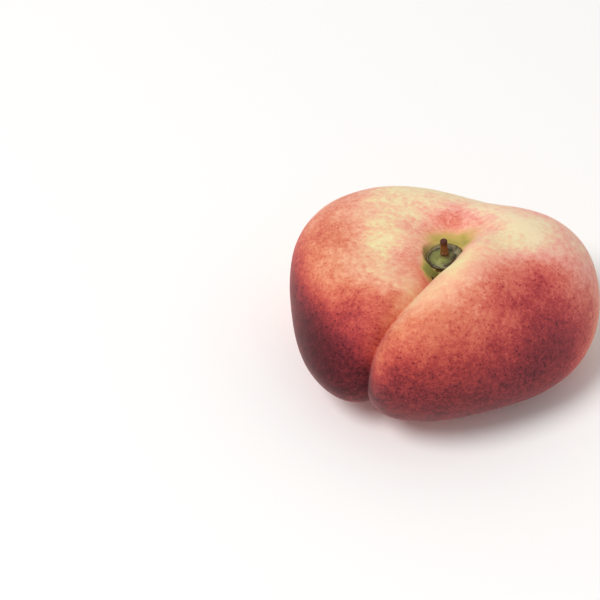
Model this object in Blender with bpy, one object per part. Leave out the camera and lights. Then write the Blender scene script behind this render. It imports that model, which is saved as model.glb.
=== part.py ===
# Flat peach: the fruit with its suture, stalk cavity and blossom end, the green stalk base that
# sits in the cavity, and the short woody stub that stands on it.
# Metres, +Z up. Azimuths are measured round the stalk's axis, 0 at +X and 90 degrees at +Y.
# The fruit is shaped round the stalk's axis, with its widest ring at z = 0. An empty then carries
# all three pieces so that the origin lies under the middle of the fruit's box, on the surface
# that it rests on.

import math

import bmesh
import bpy

MM = 0.001

# The body: a squashed ball, a little long and a little three-cornered in plan
RADIUS = 33.8 * MM
UPPER_HEIGHT = 21.6 * MM
LOWER_HEIGHT = 18.6 * MM
FULLNESS = 0.85  # power of the plan radius: under 1 squares the flanks
LONG = (0.068, 17.0)  # share of the radius, azimuth of the long way
THREE_CORNERED = (0.047, 246.0)
TALLER_SIDE = (0.114, 289.0)  # the lobe to the right of the suture stands higher
ROUND_ENDS = 0.3  # sine of the angle from either end within which the plan turns round
RAISED_RIM = (2.2 * MM, 200.0)  # the widest ring climbs on this side
REST_LEVEL = -16.1 * MM  # the underside is pressed flat here by the fruit's weight

# Broad swellings and hollows: height, azimuth, angle down from the stalk end, spread in degrees
SWELLINGS = {
    "back left shoulder": (2.0 * MM, 150.0, 65.0, 35.0),
    "right flank": (-2.4 * MM, 345.0, 85.0, 35.0),
    "left lobe, low": (2.3 * MM, 215.0, 112.0, 30.0),
    "left flank": (-1.35 * MM, 200.0, 88.0, 30.0),
    "right lobe, low": (2.2 * MM, 325.0, 105.0, 30.0),
}

# The suture: a crease from the stalk to the blossom end, with the right lobe's lip beside it
SUTURE_TOP = 252.5  # azimuth at the stalk
SUTURE_END = 221.7  # azimuth at the blossom end
SUTURE_BOW = 5.4
CREASE_DEPTH = 4.9 * MM
CREASE_LEFT = 3.3 * MM  # how far each bank of the crease reaches
CREASE_RIGHT = 3.5 * MM
CREASE_HEAD = (0.45, 5.0 * MM, 9.0 * MM)  # the left bank is narrower at the stalk: share, start and stretch
CREASE_FADE = 0.35  # share of the depth lost on the underside
LIP_HEIGHT = 2.7 * MM
LIP_OFFSET = 10.0 * MM
LIP_FADE = 0.93

# The stalk cavity, the valley that leaves it at the back, and the blossom end
CAVITY_DEPTH = 6.7 * MM
CAVITY_WIDTH = 15.3 * MM
CAVITY_OPEN = (0.67, 149.0)  # wider on this side, steep on the other
PIT_DEPTH = 1.4 * MM
PIT_WIDTH = 7.0 * MM
COLLAR = (12.7 * MM, 4.2 * MM, 1.0 * MM)  # level that the skin comes down to at the stalk base, radius, width
SLANT = (0.2, 4.0)  # the collar and the stalk base rise by this share of a step towards this azimuth
VALLEY = (2.8 * MM, 14.0 * MM, 60.0)  # depth, width, azimuth
BLOSSOM_DEPTH = 5.0 * MM
BLOSSOM_WIDTH = 11.0 * MM
BLOSSOM_SCAR = (0.8 * MM, 1.7 * MM)  # height and width of the dry nub at the blossom end

# The stalk base, the stub and the seat that they stand in
GAP = 0.3 * MM
SEAT_LEVEL = 10.9 * MM
SEAT_RADIUS = 4.4 * MM
SEAT_WALL = 0.6 * MM
BASE_RADIUS = 4.05 * MM
BASE_TOP = 12.8 * MM  # level of the base's rim
BASE_DOME = 0.35 * MM
BASE_GROOVE = 0.35 * MM
BASE_ASIDE = (-1.1 * MM, -0.5 * MM)  # the dome stands to one side of the rim
STUB_FOOT = (-0.15 * MM, 0.3 * MM)
STUB_LENGTH = 3.9 * MM
STUB_RADIUS = 0.85 * MM
STUB_LEAN = 5.5  # degrees towards -X

# Mesh density. The rings bunch near both ends, and the meridians near the suture
MERIDIANS = 88
RINGS = 44
BUNCHING = 0.6


def smooth(x):
    x = min(max(x, 0.0), 1.0)
    return x * x * (3.0 - 2.0 * x)


def wave(angle, at, folds=1):
    return math.cos(folds * (angle - math.radians(at)))


def bunched(share):
    """Moves a share of the way round, 0 to 1, towards the nearer end."""
    return share - BUNCHING * math.sin(2.0 * math.pi * share) / (2.0 * math.pi)


def suture_azimuth(polar):
    """Azimuth of the crease at an angle down from the stalk end. It bows as it goes down."""
    along = SUTURE_TOP + (SUTURE_END - SUTURE_TOP) * polar / math.pi
    return math.radians(along - SUTURE_BOW * math.sin(2.0 * polar))


def swelling(azimuth, polar):
    height = 0.0
    for size, at, down, spread in SWELLINGS.values():
        turn = (math.degrees(azimuth) - at + 180.0) % 360.0 - 180.0
        away = math.hypot(turn * math.sin(polar), math.degrees(polar) - down)
        height += size * math.exp(-((away / spread) ** 2))
    return height


def suture(radius, azimuth, polar):
    """Height of the crease and of the lip on its right bank."""
    turn = azimuth - suture_azimuth(polar)
    along, across = radius * math.cos(turn), radius * math.sin(turn)
    share, start, stretch = CREASE_HEAD
    left = CREASE_LEFT * (1.0 - share * (1.0 - smooth((radius - start) / stretch)))
    bank = CREASE_RIGHT if across > 0.0 else left
    depth = CREASE_DEPTH * (1.0 - CREASE_FADE * smooth((polar - 1.2) / 1.2))
    crease = depth * math.exp(-abs(across) / bank) * smooth((along + 1.0 * MM) / (8.0 * MM))
    out = max(across, 0.0) / LIP_OFFSET
    lip = LIP_HEIGHT * (1.0 - LIP_FADE * smooth((polar - 0.9) / 1.1)) * out * math.exp(1.0 - out)
    return lip * smooth((along + 2.3 * MM) / (16.0 * MM)) - crease


def valley(radius, azimuth, polar):
    depth, width, at = VALLEY
    turn = azimuth - math.radians(at)
    along, across = radius * math.cos(turn), radius * math.sin(turn)
    fall = smooth(along / (12.0 * MM) + 0.2) * smooth(math.cos(polar) / 0.6)
    return -depth * math.exp(-((across / width) ** 2)) * fall


def skin(azimuth, polar):
    """Radius and height of the skin at an azimuth and an angle down from the stalk end."""
    sine, cosine = math.sin(polar), math.cos(polar)
    plan = LONG[0] * wave(azimuth, LONG[1], 2) + THREE_CORNERED[0] * wave(azimuth, THREE_CORNERED[1], 3)
    reach = RADIUS * (1.0 + plan * smooth(sine / ROUND_ENDS))
    upper = UPPER_HEIGHT * (1.0 + TALLER_SIDE[0] * sine * wave(azimuth, TALLER_SIDE[1]))
    height = LOWER_HEIGHT + (upper - LOWER_HEIGHT) * smooth(cosine / 1.2 + 0.5)
    radius = reach * sine**FULLNESS
    level = height * cosine + RAISED_RIM[0] * wave(azimuth, RAISED_RIM[1]) * sine * sine

    # swellings, crease, lip and valley stand out along the body's own normal
    outward, upward = sine / reach, cosine / height
    size = math.hypot(outward, upward)
    relief = swelling(azimuth, polar) + suture(radius, azimuth, polar) + valley(radius, azimuth, polar)
    radius += relief * outward / size
    level += relief * upward / size

    # the two ends sink straight down and straight up
    width = CAVITY_WIDTH * (1.0 + CAVITY_OPEN[0] * wave(azimuth, CAVITY_OPEN[1]))
    cavity = CAVITY_DEPTH * math.exp(-((radius / width) ** 2))
    cavity += PIT_DEPTH * math.exp(-((radius / PIT_WIDTH) ** 4))
    level -= cavity * smooth(cosine / 0.6)
    nub, nub_width = BLOSSOM_SCAR
    blossom = BLOSSOM_DEPTH * math.exp(-((radius / BLOSSOM_WIDTH) ** 2))
    blossom -= nub * math.exp(-((radius / nub_width) ** 4))
    level += blossom * smooth(-cosine / 0.6)

    # the skin comes down to the stalk base's rim all round, and to a level seat under it
    if cosine > 0.0:
        collar_level, start, width = COLLAR
        rim = collar_level + SLANT[0] * radius * wave(azimuth, SLANT[1])
        level -= (1.0 - smooth((radius - start) / width)) * max(level - rim, 0.0)
        level -= (1.0 - smooth((radius - SEAT_RADIUS) / SEAT_WALL)) * max(level - SEAT_LEVEL, 0.0)
    return radius, max(level, REST_LEVEL)


def material(name, colour, roughness):
    made = bpy.data.materials.new(name)
    made.use_nodes = True
    shader = made.node_tree.nodes["Principled BSDF"]
    shader.inputs["Base Color"].default_value = (*colour, 1.0)
    shader.inputs["Roughness"].default_value = roughness
    made.diffuse_color = (*colour, 1.0)
    return made


def add_object(name, bm, finish, parent):
    mesh = bpy.data.meshes.new(name)
    bm.normal_update()
    bmesh.ops.recalc_face_normals(bm, faces=bm.faces)
    bm.to_mesh(mesh)
    bm.free()
    mesh.shade_smooth()
    mesh.set_sharp_from_angle(angle=math.radians(40.0))
    mesh.materials.append(finish)
    made = bpy.data.objects.new(name, mesh)
    made.parent = parent
    bpy.context.scene.collection.objects.link(made)
    return made


def turned(profile, sides):
    """A closed body turned about the Z axis from (radius, height) points that start and end on it."""
    bm = bmesh.new()
    chain = [bm.verts.new((radius, 0.0, height)) for radius, height in profile]
    edges = [bm.edges.new(pair) for pair in zip(chain, chain[1:])]
    bmesh.ops.spin(
        bm, geom=chain + edges, cent=(0.0, 0.0, 0.0), axis=(0.0, 0.0, 1.0), angle=2.0 * math.pi, steps=sides,
        use_merge=True,
    )
    bmesh.ops.remove_doubles(bm, verts=bm.verts, dist=0.002 * MM)
    return bm


def build_fruit(parent):
    bm = bmesh.new()
    bmesh.ops.create_uvsphere(bm, u_segments=MERIDIANS, v_segments=RINGS, radius=1.0)
    for vert in bm.verts:
        ring = bunched(math.acos(max(-1.0, min(1.0, vert.co.z))) / math.pi)
        polar = math.pi * ring
        round_share = (math.atan2(vert.co.y, vert.co.x) / (2.0 * math.pi)) % 1.0
        azimuth = suture_azimuth(polar) + 2.0 * math.pi * bunched(round_share)
        radius, level = skin(azimuth, polar)
        vert.co = (radius * math.cos(azimuth), radius * math.sin(azimuth), level)
    return add_object("fruit", bm, material("peach_skin", (0.66, 0.22, 0.13), 0.6), parent)


def build_stalk_base(parent):
    """The green disc that the stalk grew from: a slanting rim, a groove inside it, a low dome to one side."""
    under = SEAT_LEVEL + GAP
    profile = [
        (0.0, under),
        (0.85 * BASE_RADIUS, under),
        (0.97 * BASE_RADIUS, under + 0.35 * MM),
        (BASE_RADIUS, BASE_TOP - 0.4 * MM),
        (0.96 * BASE_RADIUS, BASE_TOP - 0.08 * MM),
        (0.9 * BASE_RADIUS, BASE_TOP),
        (0.83 * BASE_RADIUS, BASE_TOP - 0.08 * MM),
        (0.76 * BASE_RADIUS, BASE_TOP - BASE_GROOVE),
        (0.68 * BASE_RADIUS, BASE_TOP - 0.1 * MM),
        (0.5 * BASE_RADIUS, BASE_TOP + 0.6 * BASE_DOME),
        (0.25 * BASE_RADIUS, BASE_TOP + 0.95 * BASE_DOME),
        (0.0, BASE_TOP + BASE_DOME),
    ]
    bm = turned(profile, 32)
    for vert in bm.verts:
        x, y, z = vert.co
        height = (z - under) / (BASE_TOP - under)
        aside = height * (1.0 - (math.hypot(x, y) / BASE_RADIUS) ** 4)
        x += BASE_ASIDE[0] * aside
        y += BASE_ASIDE[1] * aside
        rise = SLANT[0] * math.hypot(x, y) * wave(math.atan2(y, x), SLANT[1])
        vert.co = (x, y, z + rise * height)
    green = material("stalk_base_green", (0.2, 0.24, 0.06), 0.55)
    return add_object("stalk_base", bm, green, parent)


def build_stalk_stub(parent):
    """The woody stub: a swollen foot, a waist and a round dark end, leaning a little."""
    profile = [
        (0.0, 0.0),
        (1.12 * STUB_RADIUS, 0.0),
        (1.15 * STUB_RADIUS, 0.06 * STUB_LENGTH),
        (1.02 * STUB_RADIUS, 0.18 * STUB_LENGTH),
        (0.97 * STUB_RADIUS, 0.4 * STUB_LENGTH),
        (0.95 * STUB_RADIUS, 0.6 * STUB_LENGTH),
        (0.98 * STUB_RADIUS, 0.76 * STUB_LENGTH),
        (1.0 * STUB_RADIUS, 0.85 * STUB_LENGTH),
        (0.88 * STUB_RADIUS, 0.94 * STUB_LENGTH),
        (0.5 * STUB_RADIUS, 0.99 * STUB_LENGTH),
        (0.0, STUB_LENGTH),
    ]
    brown = material("stub_bark", (0.1, 0.035, 0.015), 0.7)
    stub = add_object("stalk_stub", turned(profile, 16), brown, parent)
    lean = math.radians(STUB_LEAN)
    low_side = 1.2 * STUB_RADIUS * math.sin(lean)  # how far the leaning foot dips on one side
    dome_here = BASE_TOP + 0.6 * BASE_DOME  # the stub stands to one side of the dome's middle
    stub.location = (*STUB_FOOT, dome_here + GAP + low_side)
    stub.rotation_euler = (0.0, -lean, 0.0)
    return stub


def centre_on_the_fruit(carrier, fruit):
    """Moves the carrier so that the fruit's box stands over the origin."""
    across = [vert.co.x for vert in fruit.data.vertices]
    away = [vert.co.y for vert in fruit.data.vertices]
    carrier.location = (-(min(across) + max(across)) / 2.0, -(min(away) + max(away)) / 2.0, -REST_LEVEL)


def main():
    for old in list(bpy.data.objects):
        bpy.data.objects.remove(old, do_unlink=True)
    peach = bpy.data.objects.new("peach", None)
    bpy.context.scene.collection.objects.link(peach)
    fruit = build_fruit(peach)
    build_stalk_base(peach)
    build_stalk_stub(peach)
    centre_on_the_fruit(peach, fruit)


main()
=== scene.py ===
import math

import bmesh
import bpy
import numpy as np
from mathutils import Matrix, Vector, noise


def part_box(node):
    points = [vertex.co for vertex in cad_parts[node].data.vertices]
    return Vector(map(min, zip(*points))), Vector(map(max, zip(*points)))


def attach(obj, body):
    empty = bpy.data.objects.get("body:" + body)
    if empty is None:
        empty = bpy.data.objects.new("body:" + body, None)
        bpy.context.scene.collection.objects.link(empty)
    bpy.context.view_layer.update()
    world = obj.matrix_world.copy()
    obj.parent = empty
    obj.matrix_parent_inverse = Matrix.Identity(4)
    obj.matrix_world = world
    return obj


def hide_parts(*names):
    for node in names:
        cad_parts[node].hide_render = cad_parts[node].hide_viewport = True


# Ripe flat peach: a velvety skin, the green stalk base in its cavity and the short woody stub on
# it. Azimuths go round the stalk's axis, 0 at +X and 90 degrees at +Y, and angles down are measured
# from the stalk end. Lengths are in mm until they go into a mesh.

mm = 0.001

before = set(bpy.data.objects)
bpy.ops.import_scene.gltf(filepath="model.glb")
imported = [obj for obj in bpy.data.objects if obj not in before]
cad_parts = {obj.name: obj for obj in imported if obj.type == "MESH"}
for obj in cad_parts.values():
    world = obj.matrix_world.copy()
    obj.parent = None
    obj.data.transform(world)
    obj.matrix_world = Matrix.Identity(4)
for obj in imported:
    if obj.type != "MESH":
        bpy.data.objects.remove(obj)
scene = bpy.context.scene
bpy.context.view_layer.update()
print("frame loaded:", sorted(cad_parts))

# the stalk's axis, read from the stalk base
baseLow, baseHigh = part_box("stalk_base")
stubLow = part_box("stalk_stub")[0]
fruitLow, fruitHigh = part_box("fruit")
axis = (baseLow + baseHigh) / 2
ringLevel = 16.1  # the widest ring stands this far above the surface that the fruit rests on
ringMiddle = Vector((axis.x, axis.y, ringLevel * mm))


def linearColour(hexCode):
    shares = [int(hexCode[i:i + 2], 16) / 255 for i in (1, 3, 5)]
    return (*[s / 12.92 if s <= 0.04045 else ((s + 0.055) / 1.055) ** 2.4 for s in shares], 1.0)


def newMaterial(name):
    made = bpy.data.materials.new(name)
    made.use_nodes = True
    return made, made.node_tree.nodes["Principled BSDF"]


def fill(made, node, inputs):
    # an output is linked to its socket, and any other value is set on it
    for socket, value in inputs.items():
        if isinstance(value, bpy.types.NodeSocket):
            made.node_tree.links.new(value, node.inputs[socket])
        else:
            node.inputs[socket].default_value = value


def addNode(made, kind, inputs=None, stops=None, **fields):
    # adds a node with its fields, sockets and, on a ramp, its stops, and returns its first useful output
    node = made.node_tree.nodes.new(kind)
    for field, value in fields.items():
        setattr(node, field, value)
    fill(made, node, inputs or {})
    while stops and len(node.color_ramp.elements) < len(stops):
        node.color_ramp.elements.new(0.5)
    for i, (place, colour) in enumerate(stops or []):
        node.color_ramp.elements[i].position = place
        node.color_ramp.elements[i].color = linearColour(colour)
    return next(output for output in node.outputs if output.enabled)


def smooth(x):
    # an even rise from 0 to 1
    x = np.clip(x, 0.0, 1.0)
    return x * x * (3.0 - 2.0 * x)


def rising(x, start, stretch):
    # 0 up to the start and 1 from the end of the stretch on
    return smooth((x - start) / stretch)


def wave(angle, at, folds=1):
    # swings round the fruit between 1, at this azimuth in degrees, and -1, in so many folds
    return np.cos(folds * (angle - math.radians(at)))


def bunched(share, amount):
    # draws shares of a length towards both its ends
    return share - amount * np.sin(2 * math.pi * share) / (2 * math.pi)


def spot(azimuth, polar, at, down, around, along, edge=1):
    # soft round patch on the skin, 1 in its middle, with half widths in degrees; a higher edge is steeper
    turn = (np.degrees(azimuth) - at + 180) % 360 - 180
    away = (turn * np.sin(polar) / around) ** 2 + ((np.degrees(polar) - down) / along) ** 2
    return np.exp(-(away**edge))


def planSpots(x, y, places):
    # soft round patches seen from above, as (amount, x, y, half width) in mm from the stalk's axis
    total = 0.0
    for amount, atX, atY, size in places:
        total = total + amount * np.exp(-((x - atX) ** 2 + (y - atY) ** 2) / size**2)
    return total


def addField(mesh, name, values):
    kind, key = ("FLOAT", "value") if values.ndim == 1 else ("FLOAT_VECTOR", "vector")
    mesh.attributes.new(name, kind, "POINT").data.foreach_set(key, values.ravel())


def addPiece(name, mesh, finish, node):
    made = bpy.data.objects.new(name, mesh)
    scene.collection.objects.link(made)
    mesh.materials.append(finish)
    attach(made, "root")
    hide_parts(node)
    print(f"{name}: {sum(len(face.vertices) - 2 for face in mesh.polygons)} triangles")


# The fruit's form

fruit = {
    "meridians": 380, "rings": 254, "bunching": 0.5,  # closer together at the ends and along the suture
    "radius": 33.8, "upperHeight": 21.6, "lowerHeight": 18.6,
    "fullness": 0.85,  # power of the plan radius: under 1 squares the flanks
    "long": (0.068, 17), "threeCornered": (0.047, 246), "tallerSide": (0.114, 289),  # share, azimuth
    "heightBlend": 1.2,  # how gently the upper height turns into the lower, as a span of the cosine
    "roundEnds": 0.3,  # sine of the angle from either end within which the plan turns round
    "raisedRim": (2.2, 200),  # how far the widest ring is tilted up, and the azimuth of its highest point
    "swellings": {  # height, azimuth, angle down, spread in degrees
        "back left shoulder": (2.0, 150, 65, 35),
        "right flank": (-2.4, 345, 85, 35),
        "left lobe, low": (2.3, 215, 112, 30),
        "left flank": (-1.35, 200, 88, 30),
        "right lobe, low": (2.2, 325, 105, 30),
    },
    "sutureTop": 252.5, "sutureEnd": 221.7, "sutureBow": 5.4,  # azimuths, and degrees that it bows aside
    "creaseDepth": 4.9, "creaseLeft": 3.3, "creaseRight": 3.5,
    "creaseHead": (0.45, 5.0, 9.0),  # the left bank is narrower at the stalk: share, start and stretch
    "creaseStart": (-1.0, 8.0),  # mm along the suture from the axis where it sets in, and its stretch
    "creaseFade": (0.35, 1.2, 1.2),  # share lost underneath, start and stretch in radians down
    "lipHeight": 2.7, "lipOffset": 10.0, "lipStart": (-2.3, 16.0), "lipFade": (0.93, 0.9, 1.1),
    "cavityDepth": 6.7, "cavityWidth": 15.3, "cavityOpen": (0.67, 149),  # share wider towards an azimuth
    "pitDepth": 1.4, "pitWidth": 7.0,
    "hollowEnds": 0.6,  # cosine of the angle from either end within which its hollow is whole
    "collar": (12.7, 4.2, 1.0),  # level that the skin comes down to at the stalk base, radius, width
    "slant": (0.2, 4),  # the collar and the stalk base rise by this share of a step towards this azimuth
    "valley": (2.8, 14.0, 60),  # depth, width, azimuth
    "valleyHead": (12.0, 0.2),  # mm that it takes to open, and the share already open at the axis
    "blossomDepth": 5.0, "blossomWidth": 11.0, "blossomScar": (0.8, 1.7),  # height and width of its nub
    "seatLevel": 10.9, "seatRadius": 4.0, "seatWall": 0.3,
    "unevenness": ((9.0, 0.10), (3.5, 0.035)),  # size and height of the skin's own gentle bumps
    "evenSeat": 6, "evenFoot": 2,  # mm over which they set in beside the seat and above the ground
    "growth": (0.2, 29),  # share of the width kept at the ends, mm from end to end for each radian
}


def sutureAzimuth(polar):
    along = fruit["sutureTop"] + (fruit["sutureEnd"] - fruit["sutureTop"]) * polar / math.pi
    return np.radians(along - fruit["sutureBow"] * np.sin(2 * polar))


def sutureRelief(radius, azimuth, polar):
    turn = azimuth - sutureAzimuth(polar)
    along, across = radius * np.cos(turn), radius * np.sin(turn)
    share, *head = fruit["creaseHead"]
    left = fruit["creaseLeft"] * (1 - share * (1 - rising(radius, *head)))
    bank = np.where(across > 0, fruit["creaseRight"], left)
    share, *fade = fruit["creaseFade"]
    depth = fruit["creaseDepth"] * (1 - share * rising(polar, *fade))
    crease = depth * np.exp(-np.abs(across) / bank) * rising(along, *fruit["creaseStart"])
    share, *fade = fruit["lipFade"]
    out = np.maximum(across, 0) / fruit["lipOffset"]
    lip = fruit["lipHeight"] * (1 - share * rising(polar, *fade)) * out * np.exp(1 - out)
    return lip * rising(along, *fruit["lipStart"]) - crease


def valleyRelief(radius, azimuth, polar):
    depth, width, at = fruit["valley"]
    turn = azimuth - math.radians(at)
    along, across = radius * np.cos(turn), radius * np.sin(turn)
    stretch, already = fruit["valleyHead"]
    fall = smooth(along / stretch + already) * smooth(np.cos(polar) / fruit["hollowEnds"])
    return -depth * np.exp(-((across / width) ** 2)) * fall


def skinShape(azimuth, polar):
    # radius and height of the skin, in mm from the middle of the widest ring
    sine, cosine = np.sin(polar), np.cos(polar)
    share, at = fruit["long"]
    plan = share * wave(azimuth, at, 2)
    share, at = fruit["threeCornered"]
    plan += share * wave(azimuth, at, 3)
    reach = fruit["radius"] * (1 + plan * smooth(sine / fruit["roundEnds"]))
    share, at = fruit["tallerSide"]
    upper = fruit["upperHeight"] * (1 + share * sine * wave(azimuth, at))
    lower = fruit["lowerHeight"]
    height = lower + (upper - lower) * smooth(cosine / fruit["heightBlend"] + 0.5)
    radius = reach * sine ** fruit["fullness"]
    rise, at = fruit["raisedRim"]
    level = height * cosine + rise * wave(azimuth, at) * sine * sine

    outward, upward = sine / reach, cosine / height
    size = np.hypot(outward, upward)
    relief = sutureRelief(radius, azimuth, polar) + valleyRelief(radius, azimuth, polar)
    for rise, at, down, spread in fruit["swellings"].values():
        relief += rise * spot(azimuth, polar, at, down, spread, spread)
    radius = radius + relief * outward / size
    level = level + relief * upward / size

    share, at = fruit["cavityOpen"]
    width = fruit["cavityWidth"] * (1 + share * wave(azimuth, at))
    cavity = fruit["cavityDepth"] * np.exp(-((radius / width) ** 2))
    cavity += fruit["pitDepth"] * np.exp(-((radius / fruit["pitWidth"]) ** 4))
    level -= cavity * smooth(cosine / fruit["hollowEnds"])
    nub, nubWidth = fruit["blossomScar"]
    blossom = fruit["blossomDepth"] * np.exp(-((radius / fruit["blossomWidth"]) ** 2))
    blossom -= nub * np.exp(-((radius / nubWidth) ** 4))
    level += blossom * smooth(-cosine / fruit["hollowEnds"])

    collarLevel, *collar = fruit["collar"]
    share, at = fruit["slant"]
    collarLevel = collarLevel + share * radius * wave(azimuth, at)
    for floor, start, wall in (
        (collarLevel, *collar), (fruit["seatLevel"], fruit["seatRadius"], fruit["seatWall"]),
    ):
        inside = 1 - rising(radius, start, wall)
        level -= np.where(cosine > 0, inside * np.maximum(level - floor, 0), 0)
    return radius, np.maximum(level, -ringLevel)


def fitInto(points, low, high):
    # shrinks the points a hair where the finer surface would pass the CAD node's box
    for i in range(3):
        least, most = points[:, i].min(), points[:, i].max()
        share = min(1.0, (high[i] - low[i]) / (most - least))
        middle = (least + most) / 2
        points[:, i] = (points[:, i] - middle) * share + middle
        points[:, i] += max(low[i] - points[:, i].min(), 0) - max(points[:, i].max() - high[i], 0)
    return points


# The skin's colour, painted on the vertices in broad soft patches

paint = {
    "shade": 0.1, "sun": 0.1, "deepening": 0.72,  # shares of blush: shaded side, sunny side, sunny flank
    "sunAt": 255, "sunny": (-0.75, 1.2),  # azimuth of the sun; cosine from it where blush sets in, stretch
    "deepens": (16, 70),  # degrees down from which the flank's share sets in, and over how many
    "underside": (0.5, 112, 50),  # share of the blush lost underneath, from how far down and over how many
    "knee": 0.8,  # blush past this tells less and less, so that the darkest skin stays mottled
    # more or less blush, azimuth, angle down, half width round, half width down, and how steep its edge is
    "patches": {
        "red shoulder of the right lobe": (0.2, 309, 35, 19, 14.5, 3),
        "left corner of the red shoulder": (0.08, 300, 36, 4, 4),
        "right end of the red shoulder": (0.08, 327, 47, 5, 6),
        "within the red shoulder": (-0.05, 318, 42, 4, 4),
        "flank under the red shoulder": (0.12, 319, 54, 17, 13),
        "front of the left lobe": (0.22, 224, 43, 12, 13),
        "left bank of the suture, head": (0.24, 246, 14, 3, 7),
        "left bank of the suture, upper": (0.09, 216, 18, 5, 5),
        "left bank of the suture, middle": (0.16, 234, 31, 3, 8),
        "left bank of the suture, low": (-0.1, 243, 56, 6, 14),
        "left lobe beside the suture": (0.12, 217, 74, 20, 18),
        "left shoulder": (0.18, 162, 40, 16, 12),
        "left rim": (0.12, 150, 58, 10, 10),
        "left flank": (-0.12, 192, 53, 10, 12),
        "flush behind the stalk": (0.3, 85, 17, 8, 11),
        "flush behind, towards the crest": (0.18, 78, 28, 5, 7),
        "flush right of it": (0.16, 54, 19, 9, 8),
        "flush in the valley": (0.14, 22, 15, 5, 6),
        "flush left of it": (0.15, 128, 13, 6, 7),
        "rim of the cavity": (0.1, 222, 11, 6, 4.5),
        "left rim of the cavity": (0.14, 197, 12, 8, 7),
        "crest, back left": (0.26, 131, 55, 12, 11),
        "back of the right lobe": (0.19, 33, 47, 13, 9),
        "right shoulder": (0.2, 340, 41, 8, 9),
        "pale patch, left lobe": (-0.13, 177, 20, 7, 7),
        "pale band behind it": (-0.07, 155, 26, 4, 6),
        "beside it": (0.06, 141, 18, 5, 6),
        "pale patch, right lobe": (-0.22, 4, 26, 11, 8),
        "pale crest at the back": (-0.12, 92, 48, 20, 12),
        "edge of the lip": (-0.1, 245, 35, 6, 8),
        "lower lip": (-0.2, 240, 73, 6, 12),
        "inner face of the lip": (-0.18, 272, 15, 5, 7),
        "crest of the lip, head": (0.08, 255, 22, 4, 5),
        "pale wedge beside the red shoulder": (-0.09, 281, 27, 6, 4),
        "crest of the lip": (0.1, 270, 42, 10, 8),
        # deeper red low on the left lobe: partly the skin's own plum, partly painted shade
        "foot of the left lobe": (0.35, 220, 96, 16, 10),
        "dark side of the left lobe": (0.12, 207, 82, 13, 12),
        "front of the right lobe": (-0.06, 275, 78, 25, 14),
        "deep spot in the red flank": (0.06, 291, 61, 5, 5),
        "back flank": (0.3, 105, 92, 30, 22),
        "back right flank": (0.22, 35, 80, 20, 22),
        # paler at the lower right rim: painted sheen and light thrown up from below
        "right edge": (-0.15, 335, 98, 22, 14),
    },
    # partly the skin's own tone, partly painted light: pinker for the fuzz's sheen on the far side and
    # right rim, yellower for warm reflected light on the left
    "warmth_and_sheen": {  # yellower (+) or pinker (-) skin, and where, as above
        "left lobe": (0.9, 188, 48, 32, 30),
        "left bank of the suture": (-0.6, 236, 48, 8, 22),
        "lip and front": (0.6, 258, 68, 24, 35),
        "crest of the lip": (0.5, 258, 34, 12, 24),
        "head of the lip": (0.3, 290, 16, 12, 8),
        "edge of the lip": (0.9, 241, 55, 6, 28),
        "right side": (-1.0, 345, 55, 40, 35),
        "back": (-0.8, 85, 35, 35, 25),
        "right shoulder": (-0.6, 15, 42, 20, 15),
    },
    "calm": {  # where the red is less broken, and how much less, as above
        "crest of the lip, head": (0.5, 285, 20, 14, 9),
        "crest of the lip": (0.45, 257, 36, 10, 18),
        "inner face of the lip": (0.5, 272, 13, 6, 5),
        "dark side of the left lobe": (0.5, 213, 80, 26, 24),
    },
    # amount, x and y in mm from the stalk's axis, half width in mm
    "green": [
        (0.5, 0.0, 0.0, 4.1), (0.36, -2.0, 5.2, 2.6), (0.36, 2.6, 5.4, 2.8), (0.28, 5.6, 6.2, 2.8),
        (0.22, 0.5, 7.6, 2.6), (0.4, -4.1, 1.6, 0.8), (0.4, -4.1, -0.4, 0.8), (0.6, -4.2, -2.2, 0.9),
        (0.7, -4.1, -4.2, 1.1), (0.8, -2.9, -5.2, 1.3), (0.6, -3.6, -6.2, 0.9), (0.7, -1.1, -5.1, 1.1),
        (0.6, -4.6, -5.8, 1.0), (0.5, -4.1, -7.3, 0.9), (0.3, -3.8, -8.4, 0.9), (0.32, 4.8, 3.0, 1.7),
    ],
    "scar": [(1.3, -2.9, -6.9, 0.5)],  # dry brown cork where the suture starts
    # the pale edge is a painted highlight: the skin's rim catching the light just outside the stalk base
    "edge": (4.5, 0.22, 145),  # radius, width and azimuth of the skin's pale edge behind the stalk base
    "blossomScar": 2.4,  # radius in mm
}


def paintFields(azimuth, polar):
    down = np.degrees(polar)
    sunny = rising(wave(azimuth, paint["sunAt"]), *paint["sunny"])
    deeper = paint["deepening"] * rising(down, *paint["deepens"])
    share, *fade = paint["underside"]
    fading = 1 - share * rising(down, *fade)
    blush = paint["shade"] + (paint["sun"] + deeper) * sunny * fading
    for amount, *place in paint["patches"].values():
        blush += amount * spot(azimuth, polar, *place)
    knee = paint["knee"]
    over = np.maximum(blush - knee, 0) / (1 - knee)
    blush = np.minimum(blush, knee) + (1 - knee) * (1 - np.exp(-over))
    radius = fruit["radius"] * np.sin(polar) ** fruit["fullness"]
    x, y = radius * np.cos(azimuth), radius * np.sin(azimuth)
    top = polar < math.pi / 2
    green = top * planSpots(x, y, paint["green"])
    scar = np.where(top, planSpots(x, y, paint["scar"]), np.exp(-((radius / paint["blossomScar"]) ** 2)))
    reach, width, at = paint["edge"]
    # painted highlight on the skin's rim behind the stalk base
    edge = top * np.exp(-(((radius - reach) / width) ** 2)) * smooth(2 * wave(azimuth, at) - 1)
    fields = {"blush": blush, "green": green, "scar": scar, "edge": edge}
    for name in ("warmth_and_sheen", "calm"):
        fields[name] = sum(amount * spot(azimuth, polar, *place) for amount, *place in paint[name].values())
    return fields


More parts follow.
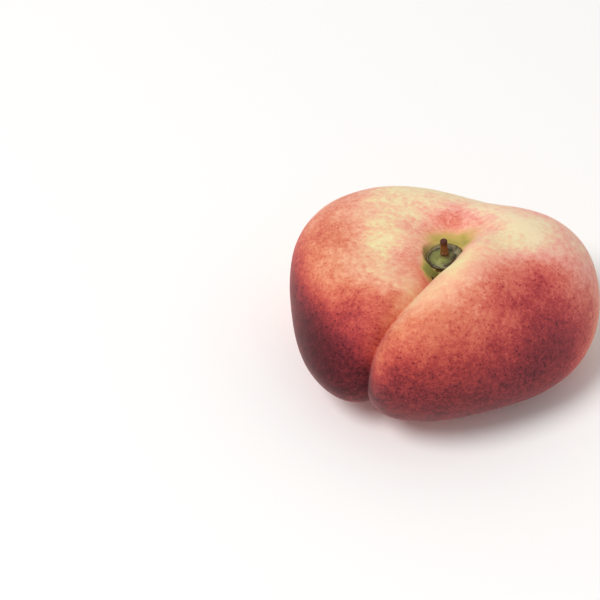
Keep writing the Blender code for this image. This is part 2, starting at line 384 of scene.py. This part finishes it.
def skinPoints(azimuth, polar):
    # places on the skin in metres; its slight unevenness dies out at the seat and where it rests
    radius, level = skinShape(azimuth, polar)
    across, away = np.cos(azimuth), np.sin(azimuth)
    outward = np.stack([np.sin(polar) * across, np.sin(polar) * away, np.cos(polar)], axis=1)
    points = np.stack([radius * across, radius * away, level], axis=1)
    relief = np.zeros(len(points))
    for size, height in fruit["unevenness"]:
        relief += height * np.array([noise.noise(Vector(point) / size) for point in points])
    relief *= rising(radius, fruit["seatRadius"], fruit["evenSeat"])
    relief *= rising(level, -ringLevel, fruit["evenFoot"])
    points += relief[:, None] * outward
    return fitInto(points * mm + np.array(ringMiddle), fruitLow, fruitHigh)


def buildSkin():
    bm = bmesh.new()
    bmesh.ops.create_uvsphere(bm, u_segments=fruit["meridians"], v_segments=fruit["rings"], radius=1.0)
    mesh = bpy.data.meshes.new("fruit_skin")
    bm.to_mesh(mesh)
    bm.free()
    ball = np.empty(len(mesh.vertices) * 3)
    mesh.vertices.foreach_get("co", ball)
    ball = ball.reshape(-1, 3)
    polar = math.pi * bunched(np.arccos(np.clip(ball[:, 2], -1, 1)) / math.pi, fruit["bunching"])
    share = np.arctan2(ball[:, 1], ball[:, 0]) / (2 * math.pi) % 1.0
    azimuth = sutureAzimuth(polar) + 2 * math.pi * bunched(share, fruit["bunching"])
    mesh.vertices.foreach_set("co", skinPoints(azimuth, polar).ravel())
    for name, values in paintFields(azimuth, polar).items():
        addField(mesh, name, values)
    # millimetres round the fruit and from end to end, for what runs with the growth
    share, length = fruit["growth"]
    around = fruit["radius"] * (share + (1 - share) * np.sin(polar))
    growth = [around * np.cos(azimuth), around * np.sin(azimuth), length * polar]
    addField(mesh, "growth", np.stack(growth, axis=1))
    mesh.shade_smooth()
    mesh.update()
    return mesh


# Peach skin: a thin hairy rind over pale flesh. The fuzz scatters light at the rims as a soft
# pinkish bloom, and the red is broken by soft clouds, by flecks that run with the growth and by a
# fine mottle with a few darker specks.

skinLook = {
    "ramp": [
        (0.0, "#f1e3b6"), (0.12, "#f0d2a9"), (0.24, "#f1bba0"), (0.36, "#eda38f"), (0.5, "#df816c"),
        (0.64, "#cb5d54"), (0.75, "#af4043"), (0.86, "#842c36"), (0.94, "#5a1b25"), (1.0, "#42101a"),
    ],
    # besides the skin's own tone, the pink tint paints the fuzz's sheen and the yellow tint a warm
    # reflected light
    "tints": ("#fff8ff", "#f4fee4"),  # what the skin's pinker and yellower parts are tinted with
    "cavityRamp": [
        (0.0, "#e0b184"), (0.3, "#cfa869"), (0.5, "#b9a258"), (0.7, "#989145"), (1.0, "#858a3c"),
    ],
    "cork": "#3c2612",
    # colour of the painted highlight on the skin's rim round the stalk base
    "edge": "#b9a868",  # the thin edge of skin round the stalk base
    "layers": {  # width and length in mm, detail, share of blush where the skin is pale and where dark
        "clouds": (5.5, 7.0, 2.0, 0.4, 0.14),
        "flecks": (1.6, 2.5, 2.0, 0.4, 0.1),
        "dabs": (1.1, 1.3, 2.0, 0.36, 0.2),
        "mottle": (0.5, 0.55, 2.0, 0.28, 0.3),
    },
    "layerRoughness": 0.55, "paleToDark": (0.2, 0.85),  # blush at which skin counts as pale and as dark
    "waver": (1.5, 5.0),  # mm that the flecks bend to either side, and from bend to bend
    "dots": (0.9, 0.17),  # distance apart in mm, share of blush
    "dotEdge": (0.14, 0.36),  # shares of that distance within which a dot is whole and ends
    "dotsCome": (0.3, 0.6, 0.2), "dotsGo": (0.75, 0.95, 0.3),  # from and to what blush, and share left
    "patchiness": (1.6, 0.8),  # size in mm of the cavity's own patches, and how much they break the green
    "greenCover": (0.03, 0.42),  # green from which it tints the skin, and from which it hides the blush
    "corkEdge": (0.6, 0.3, 0.6),  # how ragged a scar's edge is, and where it starts and is whole
    "fuzz": (0.3, 0.25, 0.1),  # size in mm, coarser than real fuzz so that it shows; strength, height in mm
    "roughness": 0.62, "ior": 1.4, "specular": 0.15,
    "sheen": 0.24, "sheenRoughness": 0.45, "sheenTint": "#eccdc8",
    "subsurface": 0.12, "depth": 1.6, "bleed": (1.0, 0.35, 0.2),  # mm under the skin; red, green, blue
}


def skinMaterial():
    made, shader = newMaterial("velvety_peach_skin")
    look = skinLook
    place = addNode(made, "ShaderNodeTexCoord").node.outputs["Object"]
    blush, warmth_and_sheen, calm, green, scar, edge = (
        addNode(made, "ShaderNodeAttribute", attribute_name=name).node.outputs["Fac"]
        for name in ("blush", "warmth_and_sheen", "calm", "green", "scar", "edge")
    )
    growth = addNode(made, "ShaderNodeAttribute", attribute_name="growth").node.outputs["Vector"]
    width, length = look["waver"]
    waves = {"Vector": place, "Scale": 1 / (length * mm), "Detail": 1.0}
    waver = addNode(made, "ShaderNodeTexNoise", waves).node.outputs["Color"]
    bend = {0: waver, 1: (width,) * 3, 2: growth}
    growth = addNode(made, "ShaderNodeVectorMath", bend, operation="MULTIPLY_ADD")

    broken = 0.0
    low, high = look["paleToDark"]
    for width, length, detail, pale, dark in look["layers"].values():
        stretch = (1 / width, 1 / width, 1 / length)
        at = addNode(made, "ShaderNodeMapping", {"Vector": growth, "Scale": stretch})
        grain = {"Vector": at, "Scale": 1.0, "Detail": detail, "Roughness": look["layerRoughness"]}
        breaks = addNode(made, "ShaderNodeTexNoise", grain)
        breaks = addNode(made, "ShaderNodeMath", {0: breaks, 1: 0.5}, operation="SUBTRACT")
        share = addNode(made, "ShaderNodeMapRange", {"Value": blush, 1: low, 2: high, 3: pale, 4: dark})
        broken = addNode(made, "ShaderNodeMath", {0: breaks, 1: share, 2: broken}, operation="MULTIPLY_ADD")
    lively = addNode(made, "ShaderNodeMath", {0: 1.0, 1: calm}, operation="SUBTRACT")
    total = addNode(made, "ShaderNodeMath", {0: broken, 1: lively, 2: blush}, operation="MULTIPLY_ADD")

    # small darker red dots, each of its own strength, which show where the skin is red
    size, share = look["dots"]
    apart = {"Vector": place, "Scale": 1 / (size * mm), "Randomness": 1.0}
    cells = addNode(made, "ShaderNodeTexVoronoi", apart)
    own = cells.node.outputs["Color"]
    low, high = look["dotEdge"]
    dots = addNode(made, "ShaderNodeMapRange", {"Value": cells, 1: low, 2: high, 3: share, 4: 0.0})
    dots = addNode(made, "ShaderNodeMath", {0: dots, 1: own}, operation="MULTIPLY")
    low, high, least = look["dotsCome"]
    reds = addNode(made, "ShaderNodeMapRange", {"Value": blush, 1: low, 2: high, 3: least, 4: 1.0})
    dots = addNode(made, "ShaderNodeMath", {0: dots, 1: reds}, operation="MULTIPLY")
    low, high, least = look["dotsGo"]
    darkest = addNode(made, "ShaderNodeMapRange", {"Value": blush, 1: low, 2: high, 3: 1.0, 4: least})
    total = addNode(made, "ShaderNodeMath", {0: dots, 1: darkest, 2: total}, operation="MULTIPLY_ADD")
    colour = addNode(made, "ShaderNodeValToRGB", {"Fac": total}, look["ramp"])
    # pinker or yellower tint: partly the skin's own tone, partly painted sheen and painted reflected light
    warmth_and_sheen = addNode(made, "ShaderNodeMapRange", {"Value": warmth_and_sheen, 1: -1.0, 2: 1.0, 3: 0.0, 4: 1.0})
    pink, yellow = (linearColour(tint) for tint in look["tints"])
    tint = addNode(made, "ShaderNodeMix", {0: warmth_and_sheen, 6: pink, 7: yellow}, data_type="RGBA")
    colours = {0: 1.0, 6: colour, 7: tint}
    colour = addNode(made, "ShaderNodeMix", colours, data_type="RGBA", blend_type="MULTIPLY")

    # ochre and green where the skin turns down to the stalk base, and brown cork on the scars
    size, share = look["patchiness"]
    patchy = addNode(made, "ShaderNodeTexNoise", {"Vector": place, "Scale": 1 / (size * mm), "Detail": 3.0})
    patchy = addNode(made, "ShaderNodeMath", {0: patchy, 1: 0.5}, operation="SUBTRACT")
    uneven = addNode(made, "ShaderNodeMath", {0: patchy, 1: share, 2: 1.0}, operation="MULTIPLY_ADD")
    green = addNode(made, "ShaderNodeMath", {0: green, 1: uneven}, operation="MULTIPLY")
    cavity = addNode(made, "ShaderNodeValToRGB", {"Fac": green}, look["cavityRamp"])
    low, high = look["greenCover"]
    cover = addNode(made, "ShaderNodeMapRange", {"Value": green, 1: low, 2: high, 3: 0.0, 4: 1.0})
    colour = addNode(made, "ShaderNodeMix", {0: cover, 6: colour, 7: cavity}, data_type="RGBA")
    pale, dark = linearColour(look["edge"]), linearColour(look["cork"])
    # the pale edge is a painted highlight
    colour = addNode(made, "ShaderNodeMix", {0: edge, 6: colour, 7: pale}, data_type="RGBA")
    ragged, low, high = look["corkEdge"]
    cork = addNode(made, "ShaderNodeMath", {0: patchy, 1: ragged, 2: scar}, operation="MULTIPLY_ADD")
    cork = addNode(made, "ShaderNodeMapRange", {"Value": cork, 1: low, 2: high})
    colour = addNode(made, "ShaderNodeMix", {0: cork, 6: colour, 7: dark}, data_type="RGBA")

    size, strength, high = look["fuzz"]
    fuzz = addNode(made, "ShaderNodeTexNoise", {"Vector": place, "Scale": 1 / (size * mm), "Detail": 3.0})
    bump = addNode(made, "ShaderNodeBump", {"Height": fuzz, "Strength": strength, "Distance": high * mm})
    fill(made, shader, {
        "Base Color": colour, "Normal": bump,
        "Roughness": look["roughness"], "IOR": look["ior"], "Specular IOR Level": look["specular"],
        "Sheen Weight": look["sheen"], "Sheen Roughness": look["sheenRoughness"],
        "Sheen Tint": linearColour(look["sheenTint"]),
        "Subsurface Weight": look["subsurface"], "Subsurface Scale": look["depth"] * mm,
        "Subsurface Radius": look["bleed"],
    })
    return made


addPiece("fruit_skin", buildSkin(), skinMaterial(), "fruit")


# The stalk base: a green disc with a corky rim, a groove inside it and a low dome

steps = 5  # of a turned outline from each corner to the next


def rounded(corners):
    # a smooth line through the corners
    line = []
    for i in range(len(corners) - 1):
        near = (corners[min(max(i + k, 0), len(corners) - 1)] for k in (-1, 0, 1, 2))
        before, start, end, after = (Vector(corner) for corner in near)
        bend = 2 * before - 5 * start + 4 * end - after
        twist = 3 * start - before - 3 * end + after
        for step in range(steps):
            t = step / steps
            line.append(start + 0.5 * ((end - before) * t + bend * t**2 + twist * t**3))
    return line + [Vector(corners[-1])]


def turnedMesh(name, profile, sides):
    # a closed body turned about the Z axis from (radius, height) points that start and end on it
    bm = bmesh.new()
    chain = [bm.verts.new((max(radius, 0.0), 0.0, height)) for radius, height in profile]
    edges = [bm.edges.new(pair) for pair in zip(chain, chain[1:])]
    bmesh.ops.spin(
        bm, geom=chain + edges, cent=(0, 0, 0), axis=(0, 0, 1), angle=2 * math.pi,
        steps=sides, use_merge=True,
    )
    bmesh.ops.remove_doubles(bm, verts=bm.verts, dist=0.002)  # mm, which closes the poles
    bm.normal_update()
    bmesh.ops.recalc_face_normals(bm, faces=bm.faces)
    mesh = bpy.data.meshes.new(name)
    bm.to_mesh(mesh)
    bm.free()
    mesh.shade_smooth()
    return mesh


stalkBase = {
    "radius": 4.05, "thickness": 1.15, "sides": 144,
    "top": 12.8,  # mm from the widest ring up to the rim
    "corners": [  # share of the radius, mm above the rim's top
        (0.0, -1.15), (0.85, -1.15), (0.97, -0.85), (1.0, -0.45), (0.98, -0.14), (0.93, 0.0), (0.87, -0.03),
        (0.79, -0.28), (0.71, -0.14), (0.56, 0.14), (0.32, 0.28), (0.0, 0.33),
    ],
    "outOfRound": (0.03, 1.7), "wrinkle": (0.07, 1.3),  # height in mm, and how close they lie
    "offCentre": (-1.1, -0.5),  # the dome stands to one side of the rim
    # the dark stops at the outer edge are painted shade of the gap between the disc and the skin
    "ramp": [  # from the middle to the edge
        (0.0, "#6d6a34"), (0.2, "#7e8040"), (0.42, "#787a40"), (0.58, "#686a3c"), (0.66, "#4d4526"),
        (0.72, "#382c18"), (0.77, "#5c5034"), (0.84, "#84795a"), (0.9, "#7a6c48"), (0.95, "#5c4f2c"),
        (1.0, "#463c20"),
    ],
    "clouds": (1.1, 0.3, 1.2),  # size in mm, and how far they shift the ramp and fray the patches
    "patchEdge": (0.15, 0.85, 0.9),  # where a patch starts, where it is full, and its cover there
    "crack": "#4c3e22", "cracks": (0.5, 0.65),  # size in mm, roughness
    "cracksShow": (0.52, 0.68, 0.55), "crackBump": (0.5, 0.1),  # strength and height in mm
    "patches": {  # colour, then strength, x, y and half width in mm from the axis
        # painted highlight: the lit yellow-green crescent left of and below the stub's foot
        "painted_highlight": ("#9a9a58", [(0.9, -0.4, -1.3, 0.9), (0.5, -0.3, -2.6, 0.7)]),
        # pale: on the right a painted highlight on the rim's inner slope, on the left the ring's own pale
        # grey-brown band
        "pale": ("#8e8b68", [(1.0, 3.0, 1.1, 0.6), (0.7, -3.3, 0.4, 0.5)]),
        # brown: partly dry brown tissue, partly painted shadow cast by the stub beside its foot and painted
        # shade of the gap at the back right of the rim
        "brown": ("#4a351c", [
            (1.0, 1.2, 0.7, 0.9), (0.6, 1.7, -0.3, 0.9), (0.8, 1.6, 3.3, 0.9), (0.9, 3.7, 1.9, 0.7),
        ]),
    },
    "roughness": 0.5, "ior": 1.42, "subsurface": 0.1, "depth": 0.6,  # mm that light travels inside
}


def buildStalkBase():
    make = stalkBase
    line = rounded([(share * make["radius"], make["top"] + rise) for share, rise in make["corners"]])
    mesh = turnedMesh("stalk_base_disc", line, make["sides"])
    fields = {name: [] for name in ("ring", *make["patches"])}
    share, at = fruit["slant"][0], math.radians(fruit["slant"][1])
    swelling, swellings = make["outOfRound"]
    wrinkle, wrinkles = make["wrinkle"]
    for vert in mesh.vertices:
        x, y, z = vert.co
        radius, azimuth = math.hypot(x, y), math.atan2(y, x)
        fields["ring"].append(radius / make["radius"])
        for name, (_, places) in make["patches"].items():
            fields[name].append(planSpots(x, y, places))
        around = Vector((math.cos(azimuth), math.sin(azimuth), 0))
        swell = -swelling * (0.5 + noise.noise(around * swellings)) * radius / make["radius"]
        point = Vector((x, y, 0)) + around * swell
        point += Vector((*make["offCentre"], 0)) * (1 - (radius / make["radius"]) ** 4)
        rise = share * (point.x * math.cos(at) + point.y * math.sin(at))
        high = 1 + (z - make["top"]) / make["thickness"]
        rise += wrinkle * noise.noise(Vector((x, y, 0)) * wrinkles)
        point.z = z + rise * high
        vert.co = point * mm + ringMiddle
    for name, values in fields.items():
        addField(mesh, name, np.array(values))
    return mesh


def stalkBaseMaterial():
    # living stalk tissue: waxy green in the middle, dry grey-green cork on the ridge, brown in the cracks,
    # with a painted highlight, painted shadow beside the stub and painted shade at the rim
    made, shader = newMaterial("green_stalk_tissue")
    place = addNode(made, "ShaderNodeTexCoord").node.outputs["Object"]
    fields = {
        name: addNode(made, "ShaderNodeAttribute", attribute_name=name).node.outputs["Fac"]
        for name in ("ring", *stalkBase["patches"])
    }
    size, shift, fray = stalkBase["clouds"]
    cloudy = addNode(made, "ShaderNodeTexNoise", {"Vector": place, "Scale": 1 / (size * mm), "Detail": 3.0})
    cloudy = addNode(made, "ShaderNodeMath", {0: cloudy, 1: 0.5}, operation="SUBTRACT")
    ring = {0: cloudy, 1: shift, 2: fields["ring"]}
    ring = addNode(made, "ShaderNodeMath", ring, operation="MULTIPLY_ADD")
    colour = addNode(made, "ShaderNodeValToRGB", {"Fac": ring}, stalkBase["ramp"])
    low, high, most = stalkBase["patchEdge"]
    for name, (patch, _) in stalkBase["patches"].items():
        share = {0: cloudy, 1: fray, 2: fields[name]}
        share = addNode(made, "ShaderNodeMath", share, operation="MULTIPLY_ADD")
        share = addNode(made, "ShaderNodeMapRange", {"Value": share, 1: low, 2: high, 3: 0.0, 4: most})
        colours = {0: share, 6: colour, 7: linearColour(patch)}
        colour = addNode(made, "ShaderNodeMix", colours, data_type="RGBA")
    size, rough = stalkBase["cracks"]
    fine = {"Vector": place, "Scale": 1 / (size * mm), "Detail": 4.0, "Roughness": rough}
    cracks = addNode(made, "ShaderNodeTexNoise", fine)
    low, high, most = stalkBase["cracksShow"]
    cork = addNode(made, "ShaderNodeMapRange", {"Value": cracks, 1: low, 2: high, 3: 0.0, 4: most})
    colours = {0: cork, 6: colour, 7: linearColour(stalkBase["crack"])}
    colour = addNode(made, "ShaderNodeMix", colours, data_type="RGBA")
    strength, high = stalkBase["crackBump"]
    bump = addNode(made, "ShaderNodeBump", {"Height": cracks, "Strength": strength, "Distance": high * mm})
    fill(made, shader, {
        "Base Color": colour, "Normal": bump,
        "Roughness": stalkBase["roughness"], "IOR": stalkBase["ior"],
        "Subsurface Weight": stalkBase["subsurface"], "Subsurface Scale": stalkBase["depth"] * mm,
    })
    return made


addPiece("stalk_base_disc", buildStalkBase(), stalkBaseMaterial(), "stalk_base")


# The stub: what is left of the stalk, a dry brown peg with a swollen foot and a dark round end

stub = {
    "foot": (-0.15, 0.3), "length": 3.9, "radius": 0.85, "lean": 5.5,  # degrees towards -X
    "sides": 40,
    "corners": [  # share of the radius, share of the length
        (0.0, -0.09), (1.05, -0.09), (1.15, 0.0), (1.14, 0.06), (1.02, 0.16), (0.97, 0.38), (0.95, 0.58),
        (0.98, 0.74), (1.0, 0.84), (0.88, 0.94), (0.52, 0.985), (0.0, 0.995),
    ],
    "wrinkle": 0.07, "wrinkles": (2.6, 0.55),  # depth in mm, and how close they lie across and along
    "axial": 0.05,  # mm from the axis within which the bark has no wrinkles
    "ramp": [  # from the foot to the end
        (0.0, "#5c4024"), (0.08, "#8a603a"), (0.16, "#8c6038"), (0.3, "#8b5c33"), (0.55, "#86562d"),
        (0.72, "#6e4424"), (0.84, "#52301d"), (0.95, "#502a22"), (1.0, "#583430"),
    ],
    "clouds": (0.8, 0.3),  # size in mm, and how far they shift the ramp
    "crack": "#2a160f", "grain": (0.3, 2.2),  # width and length in mm
    "grainShows": (0.5, 0.7, 0.7), "grainBump": (0.5, 0.06),  # strength and height in mm
    "roughness": 0.6, "specular": 0.2,
}


def buildStub():
    make = stub
    line = rounded([(wide * make["radius"], high * make["length"]) for wide, high in make["corners"]])
    mesh = turnedMesh("stalk_stub_peg", line, make["sides"])
    along = []
    lean = Matrix.Rotation(-math.radians(make["lean"]), 3, "Y")
    foot = Vector((axis.x, axis.y, stubLow.z)) + Vector((*make["foot"], 0)) * mm
    across, lengthwise = make["wrinkles"]
    for vert in mesh.vertices:
        along.append(vert.co.z / make["length"])
        out = Vector((vert.co.x, vert.co.y, 0))
        bark = noise.noise(Vector((vert.co.x * across, vert.co.y * across, vert.co.z * lengthwise)))
        if out.length > make["axial"]:
            vert.co += out.normalized() * make["wrinkle"] * (bark - 0.5)
        vert.co = lean @ vert.co * mm + foot
    addField(mesh, "along", np.array(along))
    return mesh


def stubMaterial():
    # dry bark: reddish brown with fine lengthwise wrinkles, dark maroon at the broken end
    made, shader = newMaterial("dry_stalk_bark")
    place = addNode(made, "ShaderNodeTexCoord").node.outputs["Object"]
    along = addNode(made, "ShaderNodeAttribute", attribute_name="along").node.outputs["Fac"]
    size, shift = stub["clouds"]
    uneven = addNode(made, "ShaderNodeTexNoise", {"Vector": place, "Scale": 1 / (size * mm), "Detail": 3.0})
    uneven = addNode(made, "ShaderNodeMath", {0: uneven, 1: 0.5}, operation="SUBTRACT")
    along = addNode(made, "ShaderNodeMath", {0: uneven, 1: shift, 2: along}, operation="MULTIPLY_ADD")
    colour = addNode(made, "ShaderNodeValToRGB", {"Fac": along}, stub["ramp"])
    width, length = stub["grain"]
    narrow = (1 / (width * mm), 1 / (width * mm), 1 / (length * mm))
    lines = addNode(made, "ShaderNodeMapping", {"Vector": place, "Scale": narrow})
    grain = addNode(made, "ShaderNodeTexNoise", {"Vector": lines, "Scale": 1.0, "Detail": 3.0})
    low, high, most = stub["grainShows"]
    dark = addNode(made, "ShaderNodeMapRange", {"Value": grain, 1: low, 2: high, 3: 0.0, 4: most})
    colours = {0: dark, 6: colour, 7: linearColour(stub["crack"])}
    colour = addNode(made, "ShaderNodeMix", colours, data_type="RGBA")
    strength, high = stub["grainBump"]
    bump = addNode(made, "ShaderNodeBump", {"Height": grain, "Strength": strength, "Distance": high * mm})
    fill(made, shader, {
        "Base Color": colour, "Normal": bump,
        "Roughness": stub["roughness"], "Specular IOR Level": stub["specular"],
    })
    return made


addPiece("stalk_stub_peg", buildStub(), stubMaterial(), "stalk_stub")


# Stage, light and camera

stage = {  # lengths here are in metres
    "floorHalf": 3.0, "floorColour": "#f6f5f4", "floorRoughness": 0.9,
    "worldStrength": 0.56, "worldColour": "#fffefc",
    "keyFrom": (-0.5, -0.3, 0.9), "keyDistance": 1.5, "keySize": 0.7, "keyPower": 15.0,
}


def buildStage():
    bm = bmesh.new()
    bmesh.ops.create_grid(bm, x_segments=1, y_segments=1, size=stage["floorHalf"])
    mesh = bpy.data.meshes.new("floor")
    bm.to_mesh(mesh)
    bm.free()
    # matt white paper: even and without gloss, so that it shows only the soft shadow
    made, shader = newMaterial("matt_white_paper")
    paper = {"Base Color": linearColour(stage["floorColour"]), "Roughness": stage["floorRoughness"]}
    fill(made, shader, paper)
    mesh.materials.append(made)
    floor = bpy.data.objects.new("floor", mesh)
    scene.collection.objects.link(floor)


def buildLight():
    world = bpy.data.worlds.new("soft_room")
    world.use_nodes = True
    background = world.node_tree.nodes["Background"]
    background.inputs["Color"].default_value = linearColour(stage["worldColour"])
    background.inputs["Strength"].default_value = stage["worldStrength"]
    scene.world = world
    lamp = bpy.data.lights.new("key", "AREA")
    lamp.shape = "DISK"
    lamp.size = stage["keySize"]
    lamp.energy = stage["keyPower"]
    key = bpy.data.objects.new("key", lamp)
    scene.collection.objects.link(key)
    direction = Vector(stage["keyFrom"]).normalized()
    key.location = direction * stage["keyDistance"]
    key.rotation_euler = direction.to_track_quat("Z", "Y").to_euler()
    scene.view_settings.view_transform = "Standard"


shot = {
    "elevation": 44.93, "distance": 450,  # degrees above the level, mm from the target
    "target": (-31.95, 0, -1.09),  # mm from the middle of the widest ring
    "sensor": 36.0, "pixelsPerMm": 4.44, "frameSide": 600,
    "clip": (0.05, 20),  # metres
}


def buildCamera():
    data = bpy.data.cameras.new("camera")
    data.sensor_width = shot["sensor"]
    data.lens = shot["sensor"] * shot["distance"] * shot["pixelsPerMm"] / shot["frameSide"]
    data.clip_start, data.clip_end = shot["clip"]
    camera = bpy.data.objects.new("camera", data)
    scene.collection.objects.link(camera)
    up = math.radians(shot["elevation"])
    back = Vector((0, -math.cos(up), math.sin(up)))
    camera.location = Vector(shot["target"]) * mm + ringMiddle + back * shot["distance"] * mm
    camera.rotation_euler = back.to_track_quat("Z", "Y").to_euler()
    scene.camera = camera


buildStage()
buildLight()
buildCamera()
print("floor, light and camera are set")
